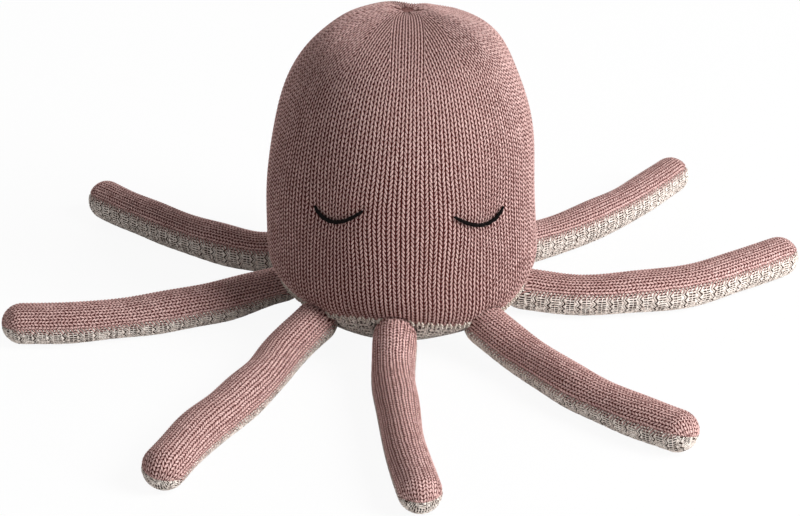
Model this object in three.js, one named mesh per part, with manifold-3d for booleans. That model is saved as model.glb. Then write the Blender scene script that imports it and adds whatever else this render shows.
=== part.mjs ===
// A knitted plush octopus: a stuffed rose head closed by a cream base panel, sleeping eyes in
// embroidery thread, and eight stuffed arms sewn on under the rim of the head.
// Millimetres, +Z up, the face towards -Y, the origin at the middle of the flat underside.

import * as THREE from "three";
import { mergeVertices } from "three/addons/utils/BufferGeometryUtils.js";
import Module from "manifold-3d";

const wasm = await Module();
wasm.setup();

// Fabric, thread and clearances
const knitThickness = 1.8;
const layerGap = 0.3;
const seamYarnRadius = 0.6;
const rootThreadRadius = 0.7;
const crownThreadRadius = 0.6;
const eyeThreadRadius = 0.9;
const cutOverrun = 4;

// Head, from the rim seam up to the gathered crown
const headRadius = 70;
const headHeight = 167.2;
const headWidestHeight = 47;
const headAside = -1;
const crownLean = 3.7;
const crownBack = 12;
const crownBackReach = 45;
const puckerRadius = 13;
const puckerDepth = 2;
const crownRingRadius = 2.6;
const domePower = 2.6;
const domeRoundness = 3.6;
const cheekPower = 3;

// Base panel, from the rim seam down to the flat that the toy rests on
const rimHeight = 27.5;
const rimRadius = 64.3;
const restRadius = 30;
const basePower = 1.35;

// Arms
const rootReach = 66.3;
const rootHeight = 13.7;
const rootBallRadius = 11;
const armMiddleRadius = 11.4;
const armTipRadius = 11;
const armFloorGap = 0.3;
const rootThreadHalfAngle = 36;
const socketRoom = 0.3;

// How many faces the round forms have
const latheSides = 32;
const domeSteps = 10;
const domeCrowding = 1.4;
const cheekSteps = 3;
const baseSteps = 5;
const armSteps = 7;
const capSteps = 3;
const halfSectionSteps = 5;
const socketSides = 14;
const socketRings = 10;
const threadSides = 5;
const rootThreadSteps = 14;
const crownThreadSteps = 12;
const eyeSteps = 12;

// The arms in order round the head, seen from above and counted from +X. The length runs from
// the centre of the root to the centre of the round tip. The turns are the headings of equal
// stretches of the arm against its root's outward direction, and the seam roll lifts the arm's
// left side, all in degrees.
const arms = [
  { name: "front", rootAngle: -93, length: 134, turns: [0, 7, 9, 10, 13], seamRoll: 0 },
  { name: "front_right", rootAngle: -45, length: 130, turns: [-12, -10, -6, 2, 8], seamRoll: -19 },
  { name: "right", rootAngle: 1, length: 150, turns: [-8, 5, 15, 31, 36], seamRoll: -27 },
  { name: "back_right", rootAngle: 44, length: 149, turns: [-13, -8, 1, 6, 11], seamRoll: -35 },
  { name: "back", rootAngle: 90, length: 140, turns: [-6, -8, -3, 4, 8], seamRoll: 8 },
  { name: "back_left", rootAngle: 142, length: 139, turns: [23, 12, 1, -3, -5], seamRoll: 31 },
  { name: "left", rootAngle: 178, length: 137, turns: [23, 26, 20, 14, 6], seamRoll: 4 },
  { name: "front_left", rootAngle: 223, length: 148, turns: [19, 27, 20, 17, 24], seamRoll: -9 },
];

// The sleeping eyes: each is one curved stitch line on the head, given by the angle from the
// front at its two ends, and by the height of the ends and the dip between them as shares of
// the head's height.
const eyes = [
  {
    name: "left_eye_stitch",
    startAngle: -39.3,
    endAngle: -16.4,
    startHeightShare: 0.5236,
    endHeightShare: 0.5424,
    dipShare: 0.0397,
  },
  {
    name: "right_eye_stitch",
    startAngle: 22.4,
    endAngle: 47.9,
    startHeightShare: 0.5168,
    endHeightShare: 0.5015,
    dipShare: 0.0383,
  },
];

const materials = {
  roseKnit: new THREE.MeshStandardMaterial({ color: 0xa57f7a, roughness: 0.95, metalness: 0 }),
  creamKnit: new THREE.MeshStandardMaterial({ color: 0xd8cbc0, roughness: 0.95, metalness: 0 }),
  stuffing: new THREE.MeshStandardMaterial({ color: 0xf2f1ee, roughness: 1, metalness: 0 }),
  roseThread: new THREE.MeshStandardMaterial({ color: 0x8f6a66, roughness: 0.9, metalness: 0 }),
  creamThread: new THREE.MeshStandardMaterial({ color: 0xc9bbae, roughness: 0.9, metalness: 0 }),
  eyeThread: new THREE.MeshStandardMaterial({ color: 0x33231f, roughness: 0.7, metalness: 0 }),
};

const up = new THREE.Vector3(0, 0, 1);
const octopus = new THREE.Group();

function addPiece(name, geometry, material) {
  const mesh = new THREE.Mesh(geometry, material);
  mesh.name = name;
  octopus.add(mesh);
}

// Closed solids

function signedVolume(geometry) {
  const position = geometry.getAttribute("position");
  const index = geometry.getIndex();
  const corners = [new THREE.Vector3(), new THREE.Vector3(), new THREE.Vector3()];
  let volume = 0;
  for (let first = 0; first < index.count; first += 3) {
    corners.forEach((corner, k) => corner.fromBufferAttribute(position, index.getX(first + k)));
    volume += corners[0].dot(corners[1].cross(corners[2])) / 6;
  }
  return volume;
}

// Merges shared corners, drops the faces that a pole collapses and turns the faces outwards.
function closedSolid(source) {
  const bare = source.clone();
  bare.deleteAttribute("normal");
  bare.deleteAttribute("uv");
  const merged = mergeVertices(bare);
  const index = merged.getIndex();
  const faces = [];
  for (let first = 0; first < index.count; first += 3) {
    const [a, b, c] = [index.getX(first), index.getX(first + 1), index.getX(first + 2)];
    if (a !== b && b !== c && c !== a) faces.push([a, b, c]);
  }
  merged.setIndex(faces.flat());
  if (signedVolume(merged) < 0) {
    merged.setIndex(faces.map(([a, b, c]) => [a, c, b]).flat());
  }
  return merged;
}

function toManifold(geometry) {
  return new wasm.Manifold(new wasm.Mesh({
    numProp: 3,
    vertProperties: new Float32Array(geometry.getAttribute("position").array),
    triVerts: new Uint32Array(geometry.getIndex().array),
  }));
}

function fromManifold(manifold) {
  const mesh = manifold.getMesh();
  const geometry = new THREE.BufferGeometry();
  geometry.setAttribute("position", new THREE.BufferAttribute(mesh.vertProperties, 3));
  geometry.setIndex([...mesh.triVerts]);
  return geometry;
}

// Joins rings of equally many points, one after another, into one closed skin. The first and
// last rings have no width, so the skin closes there by itself.
function loft(rings) {
  const sides = rings[0].length;
  const corners = rings.flat().map((point) => point.toArray()).flat();
  const faces = [];
  for (let row = 0; row + 1 < rings.length; row++) {
    for (let side = 0; side < sides; side++) {
      const next = (side + 1) % sides;
      const [a, b] = [row * sides + side, row * sides + next];
      const [c, d] = [a + sides, b + sides];
      faces.push(a, b, d, a, d, c);
    }
  }
  const geometry = new THREE.BufferGeometry();
  geometry.setAttribute("position", new THREE.Float32BufferAttribute(corners, 3));
  geometry.setIndex(faces);
  return closedSolid(geometry);
}

// Head and base outlines: radius across, height up, always listed from the top down

function domeOutline() {
  const rise = headHeight - headWidestHeight;
  const points = [];
  for (let step = 0; step <= domeSteps; step++) {
    const angle = (Math.PI / 2) * (1 - (step / domeSteps) ** domeCrowding);
    const radius = step === 0 ? 0 : headRadius * Math.cos(angle) ** (2 / domeRoundness);
    const height = headWidestHeight + rise * Math.sin(angle) ** (2 / domePower);
    const inPucker = Math.max(0, 1 - (radius / puckerRadius) ** 2);
    points.push(new THREE.Vector2(radius, height - puckerDepth * inPucker ** 2));
  }
  return points;
}

// The stretch below the widest height, where the head draws in to the rim.
function cheekOutline(edgeHeight) {
  const points = [];
  for (let step = 1; step <= cheekSteps; step++) {
    const share = step / cheekSteps;
    const radius = headRadius - (headRadius - rimRadius) * share ** cheekPower;
    points.push(new THREE.Vector2(radius, headWidestHeight - (headWidestHeight - edgeHeight) * share));
  }
  return points;
}

function baseOutline(edgeHeight) {
  const points = [];
  for (let step = baseSteps; step >= 0; step--) {
    const angle = (Math.PI / 2) * (step / baseSteps);
    const radius = restRadius + (rimRadius - restRadius) * Math.sin(angle) ** (2 / basePower);
    points.push(new THREE.Vector2(radius, edgeHeight * (1 - Math.cos(angle) ** (2 / basePower))));
  }
  points.push(new THREE.Vector2(0, 0));
  return points;
}

// Moves an outline inwards, straight along the axis at a pole and level at the rim.
function inset(outline, depth) {
  const last = outline.length - 1;
  return outline.map((point, index) => {
    const before = outline[Math.max(index - 1, 0)];
    const after = outline[Math.min(index + 1, last)];
    const along = after.clone().sub(before).normalize();
    const inward = new THREE.Vector2(along.y, -along.x);
    if (point.x === 0) inward.set(0, Math.sign(inward.y));
    else if (index === 0 || index === last) inward.set(-1, 0);
    return point.clone().addScaledVector(inward, depth);
  });
}

function headOutline() {
  return [...domeOutline(), ...cheekOutline(rimHeight + seamYarnRadius + layerGap)];
}

function lowerOutline() {
  return baseOutline(rimHeight - seamYarnRadius - layerGap);
}

function lathe(outline) {
  return closedSolid(new THREE.LatheGeometry(outline, latheSides).rotateX(Math.PI / 2));
}

// The head sits a little to the viewer's left, and its crown leans to the viewer's right.
function leanAt(height) {
  const { clamp } = THREE.MathUtils;
  const aside = clamp((height - rimHeight) / (headWidestHeight - rimHeight), 0, 1);
  const share = Math.max(0, (height - headWidestHeight) / (headHeight - headWidestHeight));
  return headAside * aside + crownLean * share ** 2;
}

// The gathered middle of the crown lies behind the middle of the head.
function crownShift(radius) {
  return crownBack * Math.max(0, 1 - (radius / crownBackReach) ** 2) ** 2;
}

function leaned(geometry) {
  const position = geometry.getAttribute("position");
  for (let k = 0; k < position.count; k++) {
    const [x, y, z] = [position.getX(k), position.getY(k), position.getZ(k)];
    position.setX(k, x + leanAt(z));
    if (z > headWidestHeight) position.setY(k, y + crownShift(Math.hypot(x, y)));
  }
  return geometry;
}

// The outline's radius at a height on the outside of the dome or the cheek.
function radiusAtHeight(outline, height) {
  const below = outline.findIndex((point, k) => k > 1 && point.y <= height);
  const [high, low] = [outline[below - 1], outline[below]];
  return low.x + ((high.x - low.x) * (height - low.y)) / (high.y - low.y);
}

function heightAtRadius(outline, radius) {
  const beyond = outline.findIndex((point) => point.x >= radius);
  const [inner, outer] = [outline[beyond - 1], outline[beyond]];
  return inner.y + ((outer.y - inner.y) * (radius - inner.x)) / (outer.x - inner.x);
}

// Arm roots

function outwardFrom(angle) {
  const turn = THREE.MathUtils.degToRad(angle);
  return new THREE.Vector3(Math.cos(turn), Math.sin(turn), 0);
}

function rootCentre(arm) {
  return outwardFrom(arm.rootAngle).multiplyScalar(rootReach).setZ(rootHeight);
}

// A ball round each root, a little larger than its radius so that its flat faces stay clear.
function rootBalls(radius) {
  const room = radius / Math.cos(Math.PI / socketSides);
  const ball = toManifold(closedSolid(new THREE.SphereGeometry(room, socketSides, socketRings)));
  return arms.map((arm) => ball.translate(rootCentre(arm).toArray()));
}

const socketRadius = rootBallRadius + 2 * layerGap + 2 * rootThreadRadius + socketRoom;
const socketWallRadius = socketRadius + knitThickness;

function withoutBalls(solid, radius) {
  return rootBalls(radius).reduce((rest, ball) => rest.subtract(ball), solid);
}

// Head, stuffing and base

function headCover() {
  const outer = headOutline();
  return leaned(lathe([...outer, ...inset(outer, knitThickness).reverse()]));
}

function headFilling() {
  const depth = knitThickness + layerGap;
  const whole = toManifold(lathe([...inset(headOutline(), depth), ...inset(lowerOutline(), depth)]));
  return leaned(fromManifold(withoutBalls(whole, socketWallRadius + layerGap)));
}

// A dish whose flank is pressed in round each arm's root, so the wall keeps its thickness.
function basePanel() {
  const outer = lowerOutline();
  const inner = inset(outer, knitThickness);
  const rim = inner[0];
  const outside = toManifold(lathe([new THREE.Vector2(0, outer[0].y), ...outer]));
  const mouth = [new THREE.Vector2(0, rim.y + cutOverrun), new THREE.Vector2(rim.x, rim.y + cutOverrun)];
  const hollow = toManifold(lathe([...mouth, ...inner]));
  const shell = withoutBalls(outside, socketRadius).subtract(withoutBalls(hollow, socketWallRadius));
  return fromManifold(shell);
}

// The yarn that closes the rim lies in the wall between the two edges.
function rimSeamYarn() {
  const middle = rimRadius - knitThickness / 2;
  const ring = [];
  for (let side = 0; side <= threadSides; side++) {
    const angle = (2 * Math.PI * side) / threadSides;
    ring.push(new THREE.Vector2(
      middle + seamYarnRadius * Math.cos(angle),
      rimHeight + seamYarnRadius * Math.sin(angle),
    ));
  }
  return lathe(ring);
}

// The thread that draws the last stitches together lies in the pucker of the crown.
function crownDrawThread() {
  const ring = new THREE.TorusGeometry(crownRingRadius, crownThreadRadius, threadSides, crownThreadSteps);
  const seat = heightAtRadius(headOutline(), crownRingRadius + crownThreadRadius);
  const height = seat + crownThreadRadius + layerGap;
  return closedSolid(ring.translate(leanAt(seat), crownShift(crownRingRadius), height));
}

// A point over the head's surface, at an angle from the front.
function overHead(angle, height, clearance) {
  const radius = radiusAtHeight(headOutline(), height) + clearance;
  const point = outwardFrom(angle - 90).multiplyScalar(radius).setZ(height);
  return point.setX(point.x + leanAt(height));
}

function eyeStitch(eye) {
  const points = [];
  for (let step = 0; step <= eyeSteps; step++) {
    const share = step / eyeSteps;
    const angle = THREE.MathUtils.lerp(eye.startAngle, eye.endAngle, share);
    const dipShare = eye.dipShare * 4 * share * (1 - share);
    const heightShare = THREE.MathUtils.lerp(eye.startHeightShare, eye.endHeightShare, share) - dipShare;
    points.push(overHead(angle, headHeight * heightShare, layerGap + eyeThreadRadius));
  }
  const section = new THREE.Shape();
  section.absarc(0, 0, eyeThreadRadius, 0, 2 * Math.PI);
  return closedSolid(new THREE.ExtrudeGeometry(section, {
    curveSegments: threadSides,
    steps: eyeSteps,
    extrudePath: new THREE.CatmullRomCurve3(points),
  }));
}

// Arms

function armRadius(share) {
  if (share < 0.5) return THREE.MathUtils.lerp(rootBallRadius, armMiddleRadius, share * 2);
  return THREE.MathUtils.lerp(armMiddleRadius, armTipRadius, share * 2 - 1);
}

// The middle line of an arm, from its root to the centre of its round tip, lying on the floor.
function armRoute(arm) {
  const points = [rootCentre(arm)];
  arm.turns.forEach((turn, k) => {
    const stretch = outwardFrom(arm.rootAngle + turn).multiplyScalar(arm.length / arm.turns.length);
    const share = (k + 1) / arm.turns.length;
    points.push(points[k].clone().add(stretch).setZ(armRadius(share) + armFloorGap));
  });
  return new THREE.CatmullRomCurve3(points);
}

// Places along an arm: a round root cap, the body and a round tip cap. A station's cap angle
// is 180 degrees at the root's pole, 90 along the body and 0 at the tip's pole.
function armStations(arm) {
  const route = armRoute(arm);
  const roll = THREE.MathUtils.degToRad(arm.seamRoll);
  const station = (share, capAngle) => {
    const tangent = route.getTangentAt(share);
    const level = new THREE.Vector3().crossVectors(up, tangent).normalize();
    return {
      centre: route.getPointAt(share),
      tangent,
      left: level.applyAxisAngle(tangent, roll),
      radius: armRadius(share),
      capAngle: THREE.MathUtils.degToRad(capAngle),
    };
  };
  const stations = [];
  for (let step = 0; step < capSteps; step++) stations.push(station(0, 180 - (90 * step) / capSteps));
  for (let step = 0; step <= armSteps; step++) stations.push(station(step / armSteps, 90));
  for (let step = 1; step <= capSteps; step++) stations.push(station(1, 90 - (90 * step) / capSteps));
  return stations;
}

// A point on an arm's section at an angle from its left side, some depth under the surface.
function sectionPoint(station, depth, angle) {
  const radius = station.radius - depth;
  const upward = new THREE.Vector3().crossVectors(station.tangent, station.left);
  const around = radius * Math.sin(station.capAngle);
  return station.centre.clone()
    .addScaledVector(station.tangent, radius * Math.cos(station.capAngle))
    .addScaledVector(station.left, around * Math.cos(angle))
    .addScaledVector(upward, around * Math.sin(angle));
}

// Half of an arm's knitted tube: the side is 1 for the top panel and -1 for the under panel.
function armPanel(stations, side) {
  const rings = stations.map((station) => {
    const outer = [];
    const inner = [];
    for (let step = 0; step <= halfSectionSteps; step++) {
      const angle = (side * Math.PI * step) / halfSectionSteps;
      outer.push(sectionPoint(station, 0, angle));
      inner.unshift(sectionPoint(station, knitThickness, angle));
    }
    const upward = new THREE.Vector3().crossVectors(station.tangent, station.left);
    const aside = upward.multiplyScalar((side * layerGap) / 2);
    return [...outer, ...inner].map((point) => point.add(aside));
  });
  return loft(rings);
}

function armFilling(stations) {
  const sides = 2 * halfSectionSteps;
  return loft(stations.map((station) => Array.from({ length: sides }, (unused, side) => (
    sectionPoint(station, knitThickness + layerGap, (2 * Math.PI * side) / sides)
  ))));
}

// The thread that sews an arm on: a ring between the ball of its root and the base panel.
function rootStitching(arm) {
  const reach = rootBallRadius + layerGap + rootThreadRadius;
  const half = THREE.MathUtils.degToRad(rootThreadHalfAngle);
  const inward = outwardFrom(arm.rootAngle + arm.turns[0]).negate();
  const ring = new THREE.TorusGeometry(
    reach * Math.sin(half), rootThreadRadius, threadSides, rootThreadSteps,
  );
  ring.applyQuaternion(new THREE.Quaternion().setFromUnitVectors(up, inward));
  const centre = rootCentre(arm).addScaledVector(inward, reach * Math.cos(half));
  return closedSolid(ring.translate(centre.x, centre.y, centre.z));
}

function addArm(arm) {
  const stations = armStations(arm);
  addPiece(`${arm.name}_arm_top_panel`, armPanel(stations, 1), materials.roseKnit);
  addPiece(`${arm.name}_arm_under_panel`, armPanel(stations, -1), materials.creamKnit);
  addPiece(`${arm.name}_arm_filling`, armFilling(stations), materials.stuffing);
  addPiece(`${arm.name}_arm_root_stitching`, rootStitching(arm), materials.creamThread);
}

addPiece("head_cover", headCover(), materials.roseKnit);
addPiece("head_filling", headFilling(), materials.stuffing);
addPiece("base_panel", basePanel(), materials.creamKnit);
addPiece("rim_seam_yarn", rimSeamYarn(), materials.roseThread);
addPiece("crown_draw_thread", crownDrawThread(), materials.roseThread);
eyes.forEach((eye) => addPiece(eye.name, eyeStitch(eye), materials.eyeThread));
arms.forEach(addArm);

export default octopus;
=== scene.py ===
"""A knitted plush octopus: stuffed rose head, cream base, sleeping eyes and eight soft arms.

Lengths are in millimetres until a mesh is made, with +Z up and the face towards -Y.
"""

import math

import bpy
import numpy as np
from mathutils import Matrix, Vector


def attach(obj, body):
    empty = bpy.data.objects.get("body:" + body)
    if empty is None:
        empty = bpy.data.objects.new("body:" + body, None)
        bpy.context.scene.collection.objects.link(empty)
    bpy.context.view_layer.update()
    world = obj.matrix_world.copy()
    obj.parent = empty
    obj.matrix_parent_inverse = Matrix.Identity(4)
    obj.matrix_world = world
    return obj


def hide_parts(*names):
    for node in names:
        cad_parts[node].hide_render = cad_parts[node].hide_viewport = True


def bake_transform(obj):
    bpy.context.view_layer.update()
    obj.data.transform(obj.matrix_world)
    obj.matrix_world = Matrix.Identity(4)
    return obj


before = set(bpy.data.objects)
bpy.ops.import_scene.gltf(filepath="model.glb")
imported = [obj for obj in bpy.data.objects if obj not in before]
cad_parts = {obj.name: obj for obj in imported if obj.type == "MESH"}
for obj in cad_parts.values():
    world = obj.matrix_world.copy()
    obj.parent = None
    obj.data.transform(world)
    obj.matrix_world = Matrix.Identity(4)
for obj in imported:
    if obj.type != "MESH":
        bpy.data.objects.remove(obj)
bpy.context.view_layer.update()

MM = 0.001
FULL_TURN = 2 * math.pi
HALF_TURN = math.pi
QUARTER_TURN = math.pi / 2
X_AXIS, Y_AXIS, Z_AXIS = np.eye(3)

# Camera, solved from the photograph
CAMERA_AIM = (-1.4, 0.0, 31.6)
CAMERA_ELEVATION = math.radians(26.7)
CAMERA_DISTANCE = 1414.0
CAMERA_LENS = 120.87
SENSOR_WIDTH = 36.0

# Light: lamps in metres and watts, the world's strength on the object, and how little the white
# floor shows of its shading
LAMPS = {
    "key": {"place": (1.42, -0.74, 1.26), "size": 1.1, "energy": 41.0},
    "fill": {"place": (-1.3, -1.2, 0.9), "size": 1.2, "energy": 2.6},
    "low": {"place": (1.5, -0.8, 0.3), "size": 1.0, "energy": 13.0},
    "back": {"place": (-0.3, 1.9, 0.5), "size": 1.2, "energy": 15.0},
}
LAMP_AIM = (0.0, 0.0, 0.06)
WHITE = (1.0, 1.0, 1.0, 1.0)
WORLD_STRENGTH = 0.25
FLOOR_WHITENESS = 0.93
FLOOR_GREY = 0.94
FLOOR_ROUGHNESS = 0.9
FLOOR_HALF_SIZE = 4000.0
FLOOR_DROP = 0.2

# Head, as in the CAD source
HEAD_RADIUS = 70.0
HEAD_HEIGHT = 167.2
WIDEST_HEIGHT = 47.0
HEAD_ASIDE = -1.0
CROWN_LEAN = 3.7
PUCKER_RADIUS = 13.0
PUCKER_DEPTH = 2.0
DOME_POWER = 2.6
DOME_ROUNDNESS = 3.6
CHEEK_POWER = 3.0
RIM_HEIGHT = 27.5
RIM_RADIUS = 64.3
REST_RADIUS = 30.0
BASE_POWER = 1.35

# The gathered crown, drawn further back than in the CAD source, and how far that reaches
CROWN_BACK = 20.0
CROWN_BACK_REACH = 50.0

# Points on the outlines, how many of them belong to the face, and where the crown's start
CHEEK_STEPS = 60
DOME_STEPS = 400
FACE_STEPS = 360
CROWN_STEP = 300
BASE_STEPS = 80

# Head knit: columns of stitches run up the head, and the crown drops columns along lines
HEAD_WALES = 98
HEAD_COURSES = 75
COLUMNS_PER_WALE = 4
ROWS_PER_COURSE = 3
HEAD_COLUMNS = HEAD_WALES * COLUMNS_PER_WALE
HEAD_ROWS = HEAD_COURSES * ROWS_PER_COURSE + 1
CROWN_WALE_WIDTH = 3.2
CROWN_NARROWING_RADIUS = 8.0
FRONT_PANEL_HALF_WALES = 2.75
SIDE_PANELS = 6
WALE_TOLERANCE = 0.01
LOW_COURSES_SHARE = 0.06
COURSE_UNEVENNESS = 0.3
COURSE_SEED = 7
HEAD_POLE_RADIUS = 1.1
POLE_FADE_RADIUS = 2.2
# Painted shade on the gathered crown: the courses over which it sets in, and how much of the gaps' painted
# shade it takes
CROWN_SHADE_COURSES = (73.2, 74.8)
CROWN_SHADE = 0.25
GATHER_DEPTH = 0.32
GATHER_RADIUS = 5.5
GATHER_SPREAD = 4.0

# Folds that run into the crown: how many round it, their turn in radians, and their share
GATHER_WAVES = [(7, 1, 1.0), (11, 2, 1.0), (17, 0, 0.6)]

# Swellings of the dome: angle from the front and its spread in degrees, radius, its spread, height
SWELLINGS = [
    (-140, 40, 14, 8, 1.0),
    (160, 20, 10, 7, -1.4),
    (-60, 14, 9, 5, 0.6),
    (30, 12, 9, 5, 0.5),
    (-150, 32, 27, 14, -4.0),
    (-150, 32, 46, 14, -0.5),
    (180, 28, 27, 14, -3.7),
    (150, 32, 27, 14, -1.6),
    (115, 30, 27, 14, -1.8),
    (115, 30, 46, 14, 0.6),
    (-115, 30, 27, 14, 1.0),
    (-115, 30, 46, 14, -1.5),
    (-90, 50, 55, 10, -0.7),
    (90, 40, 59, 9, -1.4),
]
SWELLING_HEIGHTS = (60.0, 95.0)
CROWN_SINK = 1.6

# Lumps of the stuffing: waves drawn at random, their size, seed and height
LUMP_WAVES = 6
HEAD_LUMP_SIZE = 62.0
HEAD_LUMP_SEED = 3
HEAD_LUMP_HEIGHT = 0.55
HEAD_LUMP_FADE = 14.0
ARM_LUMP_SIZE = 38.0
ARM_LUMP_HEIGHT = 0.35
FIRST_ARM_SEED = 11

# The rim hangs lower on the right of the face: angles from the front, and the shifts there
RIM_ANGLES = (-100, -60, -42, -30, -22, -12, 0, 8, 17, 22, 28, 50, 70, 100)
RIM_SHIFTS = (0.0, 0.0, -1.5, -0.9, 1.2, 1.4, 0.8, -0.5, -2.5, -4.0, -5.4, -5.2, -3.5, 0.0)
RIM_SMOOTHING = (-6, -3, 0, 3, 6)
RIM_FADE_HEIGHT = 25.0
BASE_SHIFT_HEIGHT = 4.0

# Rings that close the head and the base inside the rim: radius, and height above the rim
HEAD_LID = [(3.0, 3.0), (RIM_RADIUS - 9.0, 2.5), (RIM_RADIUS - 2.5, 0.3)]
BASE_LID = [(2.0, -2.0), (RIM_RADIUS - 16.0, -2.0), (RIM_RADIUS - 2.0, -0.5)]

# Base knit
BASE_ROWS = 70
BASE_COLUMNS = 480
BASE_RIBS = 52
BASE_STRAND_WIDTH = 1.8
BASE_RELIEF_HEIGHTS = (0.1, 4.0)

# A stitch's two legs: their lean, and their sharpness across and along. Lean and sharpness across
# change from a first to a second value between two courses, as the crown draws the knit long. The
# level is the height that lies on the smooth form
HEAD_STITCH = {"lean": (0.42, 0.26, 52, 72), "across": (3.9, 3.0, 15, 62), "along": 1.3,
               "level": 0.5, "relief": 0.75}
ARM_STITCH = {"lean": (0.5, 0.5, 0, 1), "across": (2.6, 2.6, 0, 1), "along": 1.45,
              "level": 0.6, "relief": 0.4}
FULL_STRAND = 0.8

# Cream knit, in shares of a rib: a ladder of short strands, then chevrons between two grooves. The
# levels are heights that lie on the smooth form, under an arm and on the base
LADDER_SHARE = 0.27
LADDER_EDGE_SHARES = (0.27, 0.22)
LADDER_CORE_SHARES = (0.0, 0.05)
SLOT_SHARES = (0.34, 0.15)
CHEVRON_SHARE = 0.76
CHEVRONS_PER_STRAND = 0.4
CHEVRON_RISE_SHARE = 0.36
GROOVE_SHARE = 0.09
NEAR_GROOVE = {"widths": (0.07, 0.03), "depth": 0.6}
FAR_GROOVE = {"widths": (0.08, 0.03), "depth": 0.9}
UNDER_RELIEF = 0.6
UNDER_LEVEL = 0.75
BASE_LEVEL = 0.8

# Arms, as in the CAD source
ROOT_REACH = 66.3
ROOT_HEIGHT = 13.7
ROOT_RADIUS = 11.0
ARM_MIDDLE_RADIUS = 11.4
ARM_TIP_RADIUS = 11.0
ARM_FLOOR_GAP = 0.3

# What the ends of an arm's knit leave open for a small face, and the points on an arm's route
END_HOLE = 0.4
KNOT_STEPS = 30
ROUTE_STEPS = 280

# The soft shoulder of an arm, fuller than its CAD root, and the dent it presses into the body
SHOULDER_RADIUS = 11.5
SHOULDER_REACH = 67.3
SHOULDER_FADE = 34.0
SHOULDER_SQUARENESS = 0.55
DENT_GAP = 0.7
DENT_DEPTH_GAP = 2.5
LEAST_DEPTH = 0.01

# The knit draws the arms a little in from their CAD solids, and more at a waist
ARM_SLIMNESS = 0.25
WAIST_SHARE = 0.66
WAIST_SPREAD_SHARE = 0.24

# Arm knit, the wall inside each half, and two reaches along the arm from its root, at which points are worked
# out but not used
COURSES_PER_RIB = 4
RIB_LENGTH = 7.6
ARM_WALES = 10
ARM_COLUMNS = 40
UNDER_STRANDS = 24
UNDER_COLUMNS = 72
SEAM_TEETH = 0.7
SEAM_TEETH_COLUMNS = 3.0
SEAM_EDGE_COLUMNS = 2.0
SEAM_DEPTH = 0.5
END_FADE_SHARES = (0.05, 0.3)
INNER_STEPS = 4
INNER_DEPTH = 1.5
INNER_WALE = 0.5
END_WALE_SHIFT = 0.25
END_COURSE = 0.5
BEND_START = 1.0
BEND_END = 30.0
BEND_HEADING_STEP = 40

# Angles in degrees: the root's place round the head, the headings of equal stretches of the arm
# against the root's direction, the roll that lifts the arm's left seam at its root and at its tip,
# and the shoulder's own place round the head. Bottom and top are the shoulder's heights, and the
# waist is how much the arm narrows, or with a minus swells, at the waist's share of its length
ARMS = {
    "front": {"root": -93, "length": 134, "turns": (0, 7, 9, 10, 13), "roll": (0, 0),
              "shoulder": -93.6, "bottom": 0.9, "top": 31, "waist": 0.9},
    "front_right": {"root": -45, "length": 130, "turns": (-12, -10, -6, 2, 8), "roll": (-5, -18),
                    "shoulder": -48.5, "bottom": 5.5, "top": 28, "waist": 0.2},
    "right": {"root": 1, "length": 150, "turns": (-8, 5, 15, 31, 36), "roll": (-27, -27),
              "shoulder": 1, "bottom": 1.2, "top": 23.5, "waist": 0.0},
    "back_right": {"root": 44, "length": 149, "turns": (-13, -8, 1, 6, 11), "roll": (-35, -35),
                   "shoulder": 44, "bottom": 0.9, "top": 26, "waist": 0.2},
    "back": {"root": 90, "length": 140, "turns": (-6, -8, -3, 4, 8), "roll": (8, 8),
             "shoulder": 90, "bottom": 0.9, "top": 26, "waist": 0.0},
    "back_left": {"root": 142, "length": 139, "turns": (23, 12, 1, -3, -5), "roll": (31, 31),
                  "shoulder": 142, "bottom": 0.9, "top": 26, "waist": 0.3},
    "left": {"root": 178, "length": 137, "turns": (23, 26, 20, 14, 6), "roll": (4, 10),
             "shoulder": 178, "bottom": 4.6, "top": 23.6, "waist": 0.6},
    "front_left": {"root": 223, "length": 148, "turns": (19, 27, 20, 17, 24), "roll": (9, -10),
                   "shoulder": 226, "bottom": 6.2, "top": 28.6, "waist": -0.4},
}

# Eyes: angles from the front in degrees, heights in shares of the head's height, how far the line
# dips between its ends, and to which side the dip lies
EYES = {
    "left_eye": {"start": -39.3, "end": -16.4, "start_share": 0.5236, "end_share": 0.5424,
                 "dip_share": 0.0397, "skew": -0.2},
    "right_eye": {"start": 22.4, "end": 47.9, "start_share": 0.5168, "end_share": 0.5015,
                  "dip_share": 0.0383, "skew": 0.2},
}
EYE_STITCHES = 7
EYE_STEPS = 121
EYE_THREAD_RADIUS = 1.12
EYE_THREAD_LIFT = 0.2
EYE_STITCH_LIFT = 0.3
EYE_END_SINK = 0.35
EYE_END_SHARE = 0.16
EYE_END_WIDTH_SHARE = 0.66
EYE_STITCH_END_SHARE = 0.76
EYE_STITCH_SWELL_SHARE = 0.26

# How the knit is drawn in and aside by the eye threads
EYE_PINCH_STEPS = 24
EYE_PINCH_DEPTH = 1.0
EYE_PINCH_WIDTH = 3.2
EYE_PINCH_HEIGHTS = (70.0, 100.0)
EYE_PINCH_ANGLE = 1.0
EYE_DRAW_SHARE = 0.24
EYE_DRAW_ANGLE = math.radians(17)
EYE_DRAW_HEIGHT = 22.0

# Yarns and threads: the groove between their plies, the length of a full twist, and their places
PLY_GROOVE_SHARE = 0.16
THREAD_PLIES = 3
EYE_TWIST = 3.2
FINE_TWIST = 2.4
RIM_YARN = {"steps": 800, "radius": 0.8, "inset": 0.5, "drop": 0.2}
CROWN_YARN = {"steps": 60, "radius": 0.4, "ring": 1.4, "drop": 0.45}
ROOT_YARN = {"steps": 90, "radius": 0.7, "reach": 12.0, "half_angle": math.radians(36)}

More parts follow.
